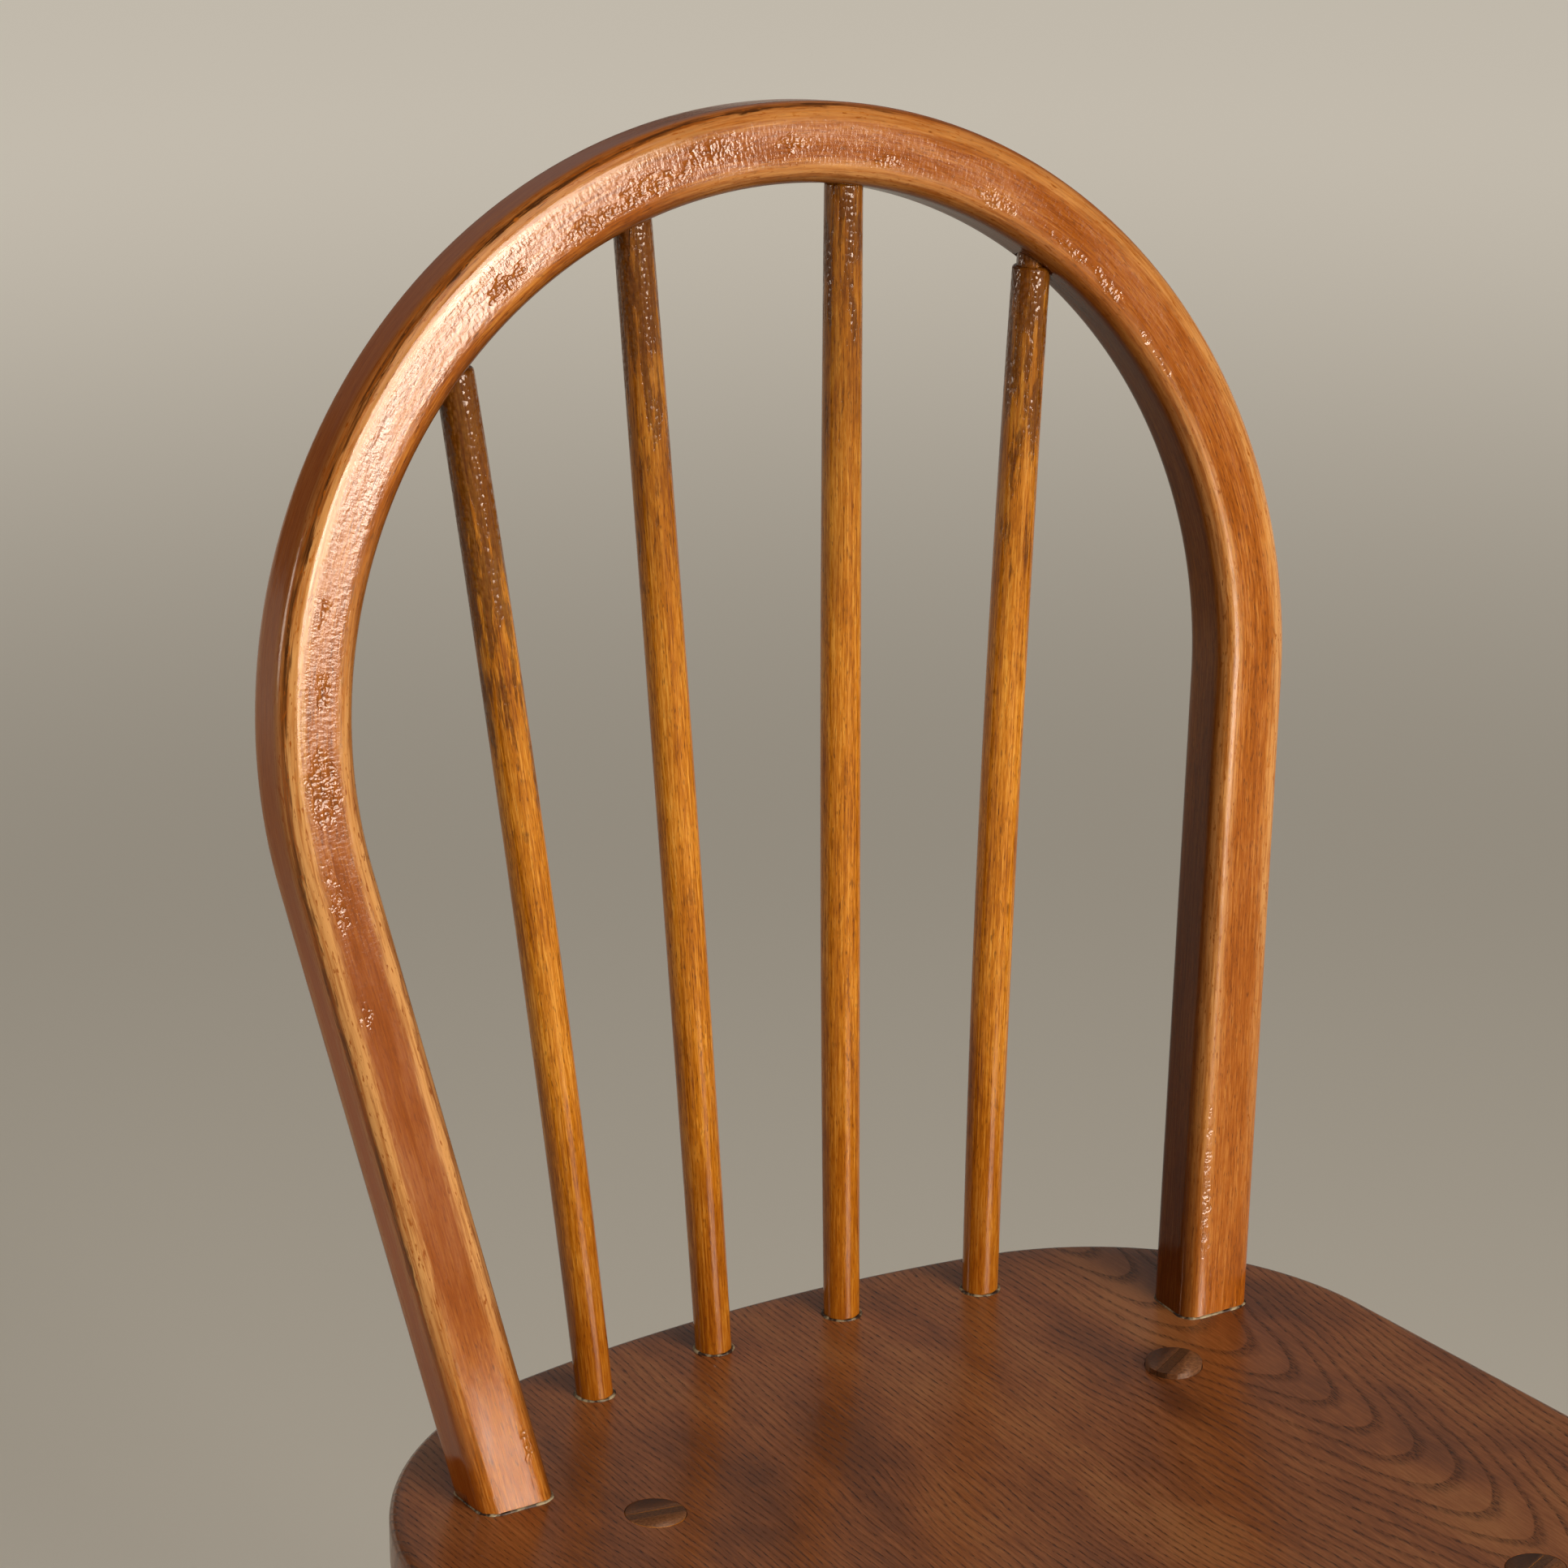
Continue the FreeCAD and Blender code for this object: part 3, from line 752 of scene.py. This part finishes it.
blisters = [
    (-277, 0, 20, 8), (-247, -1, 9, 4), (-312, 4, 20, 3), (-351, 5, 9, 3), (-222, 2, 8, 3),
    (-100, -2, 12, 5), (-66, -4, 18, 5), (-40, -2, 18, 6), (-14, 2, 18, 6), (14, 0, 10, 4),
    (51, -4, 9, 3), (95, -5, 14, 4), (130, -5, 14, 3), (152, -6, 13, 3), (176, -7, 9, 2), (188, -7, 8, 2),
    (-508, -8, 10, 2), (482, -8, 40, 2)]


def blistered(stick):
    """How far the varnish is blistered at a point of the stick."""
    most = 0.0
    for along, across, length, width in blisters:
        off = math.hypot((stick.z / MM - along) / length, (stick.x / MM - across) / width)
        most = max(most, 1.0 - off * off)
    return most if stick.y < 0.0 else 0.0


def mark_hoop():
    """Keep the hoop's grain, its way round the section, its wear and its blisters on its points."""
    mark_grain(hoop, unbent, 0.0)
    marks = hoop.data.attributes
    for name in hoop_marks:
        marks.new(name, "FLOAT", "POINT")
    marks.new("wear", "FLOAT_VECTOR", "POINT")
    for i, vertex in enumerate(hoop.data.vertices):
        stick = unbent(vertex.co)
        along = stick.z / MM
        way = way_round(stick)
        marks["edge"].data[i].value = way
        marks["deep"].data[i].value = between(front_deep_and_shade, along)
        marks["fold"].data[i].value = between(front_folds, along)
        marks["blister"].data[i].value = blistered(stick)
        if stick.x > 0.0:
            marks["band"].data[i].value = way + between(outer_set_in, along) * MM
            marks["wear"].data[i].vector = (
                between(outer_rub, along), between(outer_grime, along), between(outer_shade, along))
        else:
            marks["band"].data[i].value = way * inner_widen + inner_set_in * MM
            marks["wear"].data[i].vector = (between(inner_rub, along), 0.0, inner_shade)


# Rubbed and blistered stained beech: the hoop's front arrises are worn to a pale gold with a ragged edge,
# beside a dark line of old grime. Its outer side is amber, and its inner side a deep, dull brown. The
# varnish has wrinkled in fine folds, and in patches it stands in glossy blisters. A real blister is under
# 1 mm across, so they are drawn about twice as coarse.
hoop_pale = "#c67a2c"
hoop_mid = "#a55610"
hoop_dark = "#7a3a08"
deep_red_and_shade = "#883f0e"
rubbed_gold = "#dd9d58"
grime_brown = "#4a2409"
side_amber = "#d46000"
side_brown = "#3a1804"
band_range = (-5.0, 15.0)
side_range = (3.5 * MM, 9.5 * MM)
side_cover = 0.65
side_dulling = 0.4
deep_cover = 0.65
ragged_reach = 6.0 * MM
fold_height = 0.06 * MM
blister_height = 0.25 * MM
blister_hollow_dark = 0.4


def rubbed_beech():
    """The hoop's finish."""
    material, tree, shader, grain, colour, gloss, relief = stained_beech(
        "rubbed_stained_beech", hoop_pale, hoop_mid, hoop_dark)
    way, band, deep, fold, blister = [
        add_node(tree, "Attribute", attribute_name=name)["Fac"] for name in hoop_marks]
    wear = add_node(tree, "Attribute", attribute_name="wear")["Vector"]
    wear = add_node(tree, "SeparateXYZ", {"Vector": wear})
    side = add_node(tree, "MixRGB", {
        "Fac": wear["Z"], "Color1": linear(side_amber), "Color2": linear(side_brown)})[0]
    # Deeper red on the front: partly its own tone, partly painted shade that takes down the sheen.
    deep = add_node(tree, "Math", {0: deep, 1: deep_cover}, operation="MULTIPLY")[0]
    colour = add_node(tree, "MixRGB", {"Fac": deep, "Color1": colour, "Color2": linear(deep_red_and_shade)})[0]
    sides = add_node(tree, "MapRange", {
        "Value": band, "From Min": side_range[0], "From Max": side_range[1], "To Max": side_cover})[0]
    colour = add_node(tree, "MixRGB", {"Fac": sides, "Color1": colour, "Color2": side})[0]
    dull = add_node(tree, "Math", {0: sides, 1: wear["Z"]}, operation="MULTIPLY")[0]
    shine = add_node(tree, "Math", {0: dull, 1: -side_dulling, 2: 0.5}, operation="MULTIPLY_ADD")[0]
    tree.links.new(shine, shader.inputs["Specular IOR Level"])
    ragged = streaks(tree, grain, 1.0, 12.0, 5.0)
    ragged = add_node(tree, "Math", {0: ragged, 1: 0.5}, operation="SUBTRACT")[0]
    place = add_node(tree, "Math", {0: ragged, 1: ragged_reach, 2: band}, operation="MULTIPLY_ADD")[0]
    low, high = band_range
    share = add_node(tree, "MapRange", {"Value": place, "From Min": low * MM, "From Max": high * MM})[0]
    gold = [(-1.2, 0.0), (0.4, 0.25), (1.8, 0.85), (6.2, 0.95), (7.5, 0.2), (9.2, 0.55), (14.0, 0.1)]
    grime = [(6.0, 0.0), (6.8, 1.0), (7.8, 0.9), (9.2, 0.0)]
    worn = streaks(tree, grain, 1.0, 22.0, 4.0)
    patchy = add_node(tree, "MapRange", {
        "Value": worn, "From Min": 0.36, "From Max": 0.56, "To Min": 0.3, "To Max": 1.0})[0]
    nick = streaks(tree, grain, 0.9, 3.5, 2.0)
    whole = add_node(tree, "MapRange", {
        "Value": nick, "From Min": 0.68, "From Max": 0.6, "To Min": 0.1})[0]
    patchy = add_node(tree, "Math", {0: patchy, 1: whole}, operation="MULTIPLY")[0]
    for line, shade, strength in ((gold, rubbed_gold, wear["X"]), (grime, grime_brown, wear["Y"])):
        stops = [((mm - low) / (high - low), (much, much, much, 1.0)) for mm, much in line]
        cover = add_node(tree, "ValToRGB", {"Fac": share}, stops)[0]
        cover = add_node(tree, "Math", {0: cover, 1: strength}, operation="MULTIPLY")[0]
        cover = add_node(tree, "Math", {0: cover, 1: patchy}, operation="MULTIPLY")[0]
        colour = add_node(tree, "MixRGB", {"Fac": cover, "Color1": colour, "Color2": linear(shade)})[0]
    flat = add_node(tree, "MapRange", {"Value": way, "From Min": 1.0 * MM, "From Max": -2.0 * MM})[0]
    flat = add_node(tree, "Math", {0: flat, 1: fold}, operation="MULTIPLY")[0]
    close = add_node(tree, "Mapping", {"Vector": grain, "Scale": drawn_out(2.0, 1.3)})[0]
    folds = add_node(tree, "TexNoise", {"Vector": close, "Scale": 1.0, "Detail": 2.0})[0]
    folds = add_node(tree, "Math", {0: folds, 1: flat}, operation="MULTIPLY")[0]
    patch = streaks(tree, grain, 2.6, 3.6, 2.0)
    patch = add_node(tree, "Math", {0: blister, 1: 0.5, 2: patch}, operation="MULTIPLY_ADD")[0]
    patch = add_node(tree, "MapRange", {
        "Value": patch, "From Min": 0.74, "From Max": 1.0}, interpolation_type="SMOOTHSTEP")[0]
    close = add_node(tree, "Mapping", {"Vector": grain, "Scale": drawn_out(2.0, 1.2)})[0]
    beads = add_node(tree, "TexVoronoi", {
        "Vector": close, "Scale": 1.0, "Smoothness": 0.5}, feature="SMOOTH_F1")["Distance"]
    beads = add_node(tree, "Math", {0: beads, 1: patch}, operation="MULTIPLY")[0]
    # Darker in the hollows between the blisters.
    hollow_dark = add_node(tree, "Math", {0: beads, 1: blister_hollow_dark}, operation="MULTIPLY")[0]
    colour = add_node(tree, "MixRGB", {"Fac": hollow_dark, "Color1": colour, "Color2": linear(grime_brown)})[0]
    relief = add_node(tree, "Math", {0: folds, 1: fold_height, 2: relief}, operation="MULTIPLY_ADD")[0]
    relief = add_node(tree, "Math", {
        0: beads, 1: -blister_height, 2: relief}, operation="MULTIPLY_ADD")[0]
    varnished(tree, shader, colour, gloss, relief)
    return material


finish(hoop, rubbed_beech())
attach(hoop, "root")
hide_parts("hoop")


# Spindles: four slim turned beech sticks that swell a little, stand in a bowed row of sockets near the
# seat's back and go into the underside of the hoop. With age they have bowed towards the chair's middle.
spindle_pitch = 51.2 * MM
spindle_row_inset = 23.7 * MM
spindle_row_radius = 316.0 * MM
spindle_foot = 12.4 / 2 * MM
spindle_belly = 13.6 / 2 * MM
spindle_head = 12.8 / 2 * MM
spindle_tenon = 10.0 / 2 * MM
spindle_socket = 18.0 * MM
outer_row = {"pitches": 1.5, "turn": 38.5, "bow": 2.0 * MM, "reveal": 0.8 * MM}
inner_row = {"pitches": 0.5, "turn": 13.1, "bow": 0.8 * MM, "reveal": -1.6 * MM}
spindle_rows = {
    "left_outer": (-1, outer_row), "left_inner": (-1, inner_row),
    "right_inner": (1, inner_row), "right_outer": (1, outer_row)}


def make_spindle(name, foot, head, shoulder, bow):
    """Turn a spindle, bow it sideways and stand it from its foot to its head."""
    rounding = spindle_head - spindle_tenon
    neck = shoulder - rounding
    radius = swell((0.0, spindle_foot), (shoulder / 2, spindle_belly), (neck, spindle_head))
    stations = [(-spindle_socket, spindle_foot)] + [(h, radius(h)) for h in steps(0.0, neck, 40)]
    stations += rounded_shoulder(neck, spindle_tenon, rounding)
    stations.append(((head - foot).length, spindle_tenon))
    piece = turn_on_lathe(name, stations, 40)
    mark_grain(piece, lambda co: co, len(bpy.data.objects))
    for vertex in piece.data.vertices:
        share = min(1.0, max(0.0, vertex.co.z / neck))
        vertex.co.x += bow * 4.0 * share * (1.0 - share)
    stand(piece, foot, head)
    return piece


# The spindles' beech is the legs', but it is darker towards their heads and feet, and from a line
# on each, in millimetres up from its foot, the varnish has gathered in dark drops, darker in the
# hollows between them. A real drop is under 1 mm across, so the drops are drawn about twice as coarse.
head_brown = "#4d2307"
foot_brown = "#7a3606"
head_start = 215.0 * MM
head_end = 400.0 * MM
foot_end = 120.0 * MM
darker_ends_sway = 220.0 * MM
darker_ends_cover = 0.6
drop_sway = 420.0 * MM
drop_range = (20.0 * MM, 60.0 * MM)
drop_cover = 0.6
drop_hollow_dark = 0.4
drop_height = 0.3 * MM
drop_lines = {"left_outer": 225.0, "left_inner": 300.0, "right_inner": 345.0, "right_outer": 275.0}


def spindle_beech():
    """The spindles' finish."""
    material, tree, shader, grain, colour, gloss, relief = stained_beech(
        "stained_beech_spindle", beech_pale, beech_mid, beech_dark)
    height = add_node(tree, "SeparateXYZ", {"Vector": grain})["Z"]
    uneven = streaks(tree, grain, 6.0, 34.0, 3.0)
    uneven = add_node(tree, "Math", {0: uneven, 1: 0.5}, operation="SUBTRACT")[0]
    reach = add_node(tree, "Math", {0: uneven, 1: darker_ends_sway, 2: height}, operation="MULTIPLY_ADD")[0]
    # Darker towards the heads and the feet, with a wavering edge.
    for shade, start, end in ((head_brown, head_start, head_end), (foot_brown, foot_end, 0.0)):
        cover = add_node(tree, "MapRange", {
            "Value": reach, "From Min": start, "From Max": end, "To Max": darker_ends_cover})[0]
        colour = add_node(tree, "MixRGB", {"Fac": cover, "Color1": colour, "Color2": linear(shade)})[0]
    close = add_node(tree, "Mapping", {"Vector": grain, "Scale": drawn_out(1.8, 2.0)})[0]
    drops = add_node(tree, "TexVoronoi", {
        "Vector": close, "Scale": 1.0, "Smoothness": 0.4}, feature="SMOOTH_F1")["Distance"]
    above = add_node(tree, "Attribute", attribute_name="above_drops")["Fac"]
    patch = streaks(tree, grain, 3.0, 20.0, 4.0)
    patch = add_node(tree, "Math", {0: patch, 1: 0.5}, operation="SUBTRACT")[0]
    patch = add_node(tree, "Math", {0: patch, 1: drop_sway, 2: above}, operation="MULTIPLY_ADD")[0]
    patch = add_node(tree, "MapRange", {
        "Value": patch, "From Min": drop_range[0], "From Max": drop_range[1]})[0]
    darker = add_node(tree, "Math", {0: patch, 1: drop_cover}, operation="MULTIPLY")[0]
    colour = add_node(tree, "MixRGB", {
        "Fac": darker, "Color1": colour, "Color2": linear(head_brown)})[0]
    drops = add_node(tree, "Math", {0: drops, 1: patch}, operation="MULTIPLY")[0]
    # Darker in the hollows between the drops.
    hollow_dark = add_node(tree, "Math", {0: drops, 1: drop_hollow_dark}, operation="MULTIPLY")[0]
    colour = add_node(tree, "MixRGB", {"Fac": hollow_dark, "Color1": colour, "Color2": linear(head_brown)})[0]
    relief = add_node(tree, "Math", {0: drops, 1: -drop_height, 2: relief}, operation="MULTIPLY_ADD")[0]
    varnished(tree, shader, colour, gloss, relief)
    return material


spindle_finish = spindle_beech()
spindle_feet = {}
seat_sockets = []
hoop_sockets = []
for word, (side, row) in spindle_rows.items():
    foot_x = side * row["pitches"] * spindle_pitch
    row_bow = spindle_row_radius - math.sqrt(spindle_row_radius ** 2 - foot_x ** 2)
    foot = Vector((foot_x, seat_high.y - spindle_row_inset - row_bow, seat_top))
    angle = side * math.radians(row["turn"])
    spoke = Vector((math.sin(angle), 0.0, math.cos(angle)))
    head = hoop_place @ (arc_centre + spoke * hoop_radius)
    outward = hoop_place.to_3x3() @ spoke
    axis = (head - foot).normalized()
    shoulder = (head - foot).length - hoop_width / 2 / axis.dot(outward) - row["reveal"]
    piece = make_spindle("spindle_" + word + "_turned", foot, head, shoulder, -side * row["bow"])
    above = piece.data.attributes.new("above_drops", "FLOAT", "POINT")
    for vertex, mark in zip(piece.data.vertices, above.data):
        mark.value = axis.dot(vertex.co - foot) - drop_lines[word] * MM
    smooth(piece, 40)
    finish(piece, spindle_finish)
    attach(piece, "root")
    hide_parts("spindle_" + word)
    socket = spindle_socket + tenon_gap
    seat_sockets.append(drill(foot - axis * socket, foot + axis * socket, spindle_foot + tenon_gap))
    let_in = foot + axis * (shoulder + tenon_gap)
    hoop_sockets.append(drill(let_in, head + axis * tenon_gap, spindle_tenon + tenon_gap))
    hoop_sockets.append(drill(let_in - axis * hoop_width, let_in, spindle_head + tenon_gap))
    spindle_feet[word] = foot
combine(seat, seat_sockets, "DIFFERENCE")
smooth(seat, 35)
combine(hoop, hoop_sockets, "DIFFERENCE")
mark_hoop()
smooth(hoop, 40)


# Wax beads: old polish and dust that has set in a thin uneven line where the spindles and the hoop's feet
# meet the seat, cream where it is thick and dark elsewhere.
wax_cream = "#a58f6b"
wax_dark = "#2a160a"
ring_bead = 0.7 * MM
foot_bead = 0.5 * MM
front_bead = 0.7 * MM
wax_gloss = (0.3, 0.6)
wax_relief = 0.3 * MM


def old_wax():
    """The beads' finish: cream and dark flecks 2 or 3 mm long."""
    material, tree, shader = new_material("old_wax")
    place = add_node(tree, "TexCoord")["Object"]
    fleck = streaks(tree, place, 3.5, 3.5, 3.0)
    colour = add_node(tree, "ValToRGB", {"Fac": fleck}, [
        (0.42, linear(wax_dark)), (0.6, linear(wax_cream))])[0]
    gloss = add_node(tree, "MapRange", {
        "Value": fleck, "To Min": wax_gloss[0], "To Max": wax_gloss[1]})[0]
    relief = add_node(tree, "Math", {0: fleck, 1: wax_relief}, operation="MULTIPLY")[0]
    varnished(tree, shader, colour, gloss, relief)
    return material


def lay_bead(line, name, thickness):
    """Turn a closed line of edges into a bead, with its radius from a function of the place."""
    line.name = name
    bpy.ops.object.convert(target="CURVE")
    line.data.bevel_depth = 1.0
    line.data.bevel_resolution = 2
    for i, point in enumerate(line.data.splines[0].points):
        point.radius = thickness(point.co) * (0.85 + 0.1 * math.sin(1.3 * i) + 0.15 * math.sin(0.4 * i))
    bpy.ops.object.convert(target="MESH")
    face_outwards()
    smooth(line, 60)
    finish(line, wax_finish)
    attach(line, "root")


wax_finish = old_wax()
for word, foot in spindle_feet.items():
    bpy.ops.object.select_all(action="DESELECT")
    bpy.ops.mesh.primitive_circle_add(vertices=48, radius=spindle_foot + ring_bead / 2, location=foot)
    bpy.ops.object.transform_apply()
    lay_bead(bpy.context.object, "wax_ring_" + word, lambda co: ring_bead)
for side, word in ((-1, "left"), (1, "right")):
    foot, limb = hoop_foot(side)
    outline = plane_section()
    bpy.ops.mesh.subdivide(number_cuts=3)
    bpy.ops.mesh.delete(type="ONLY_FACE")
    bpy.ops.object.mode_set(mode="OBJECT")
    tilt = Matrix.Rotation(side * limb_lean, 4, "Y")
    outline.data.transform(Matrix.Translation(foot) @ hoop_place.to_3x3().to_4x4() @ tilt)
    for vertex in outline.data.vertices:
        vertex.co -= limb * ((vertex.co.z - seat_top) / limb.z)
    front = foot.y - hoop_corner
    lay_bead(outline, "wax_line_" + word, lambda co: front_bead if co.y < front else foot_bead)


# Floor, light and camera: a plain pale floor, a soft window-like light low in front of the chair, weak ones
# round it, two small ones for sheen and highlights, and a camera where the photograph was taken from. The
# floor's paleness is partly its own glow, seen by the eye and in reflections only, so it lights nothing.
floor_size = 40.0
floor_roughness = 0.9
floor_paint = "#cfc3b0"
floor_glow = "#d8d0c2"
near_glow = (1.5, 0.14)
far_glow = (3.3, 0.64)
bpy.ops.object.select_all(action="DESELECT")
bpy.ops.mesh.primitive_plane_add(size=floor_size)
floor = bpy.context.object
floor.name = "floor"
material, tree, shader = new_material("pale_floor")
seen = 0.0
rays = add_node(tree, "LightPath")
for kind in ("Is Camera Ray", "Is Glossy Ray", "Is Transmission Ray"):
    seen = add_node(tree, "Math", {0: rays[kind], 1: seen}, operation="MAXIMUM")[0]
place = add_node(tree, "TexCoord")["Object"]
reach = add_node(tree, "VectorMath", {0: place}, operation="LENGTH")["Value"]
# The painted glow is faint within 1.5 m of the chair and full from 3.3 m out, so the floor round the chair
# is darker.
glow = add_node(tree, "MapRange", {
    "Value": reach, "From Min": near_glow[0], "To Min": near_glow[1],
    "From Max": far_glow[0], "To Max": far_glow[1]}, interpolation_type="SMOOTHSTEP")[0]
glow = add_node(tree, "Math", {0: seen, 1: glow}, operation="MULTIPLY")[0]
shader.inputs["Base Color"].default_value = linear(floor_paint)
shader.inputs["Roughness"].default_value = floor_roughness
shader.inputs["Emission Color"].default_value = linear(floor_glow)
tree.links.new(glow, shader.inputs["Emission Strength"])
floor.data.materials.append(material)

light_target = Vector((0.0, hoop_line, 0.62))
light_spread = math.radians(90)


def soft_light(name, azimuth, elevation, distance, size, power):
    """A rectangular light with a grid that narrows its spread, aimed at the chair's back."""
    a, e = math.radians(azimuth), math.radians(elevation)
    away = Vector((math.sin(a) * math.cos(e), -math.cos(a) * math.cos(e), math.sin(e)))
    lamp = bpy.data.lights.new(name, "AREA")
    lamp.shape = "RECTANGLE"
    lamp.size, lamp.size_y = size
    lamp.energy = power
    lamp.spread = light_spread
    holder = bpy.data.objects.new(name, lamp)
    holder.location = light_target + away * distance
    holder.rotation_mode = "QUATERNION"
    holder.rotation_quaternion = away.to_track_quat("Z", "Y")
    bpy.context.scene.collection.objects.link(holder)


soft_light("front_light", -5, 52, 2.6, (2.0, 1.6), 5.0)
soft_light("window_light", 16.5, 13, 4.0, (1.4, 1.7), 25.5)
soft_light("sheen_light", 23.8, 7, 4.0, (0.4, 0.55), 4.4)
soft_light("bright_light", 4, 12, 4.0, (0.45, 0.7), 8.2)
soft_light("left_light", -118, 10, 2.0, (0.4, 0.6), 1.5)
soft_light("back_light", 165, 24, 4.0, (5.0, 2.2), 1.5)

world_colour = "#d3d0c8"
world_strength = 0.14
world = bpy.data.worlds.new("studio")
world.use_nodes = True
bpy.context.scene.world = world
background = world.node_tree.nodes["Background"]
background.inputs["Color"].default_value = linear(world_colour)
background.inputs["Strength"].default_value = world_strength

# The camera's place is given from the middle of the seat's back edge.
camera_place = (-0.98272, -1.65951, 0.96047)
camera_drop = 21.7022
camera_turn = -31.0747
camera_lens = 142.54
camera_sensor = 36.0
camera = bpy.data.objects.new("camera", bpy.data.cameras.new("camera"))
bpy.context.scene.collection.objects.link(camera)
camera.location = (camera_place[0], seat_high.y + camera_place[1], seat_top + camera_place[2])
camera.rotation_euler = (math.radians(90 - camera_drop), 0.0, math.radians(camera_turn))
camera.data.sensor_width = camera_sensor
camera.data.lens = camera_lens
bpy.context.scene.camera = camera
bpy.context.scene.view_settings.view_transform = "Standard"
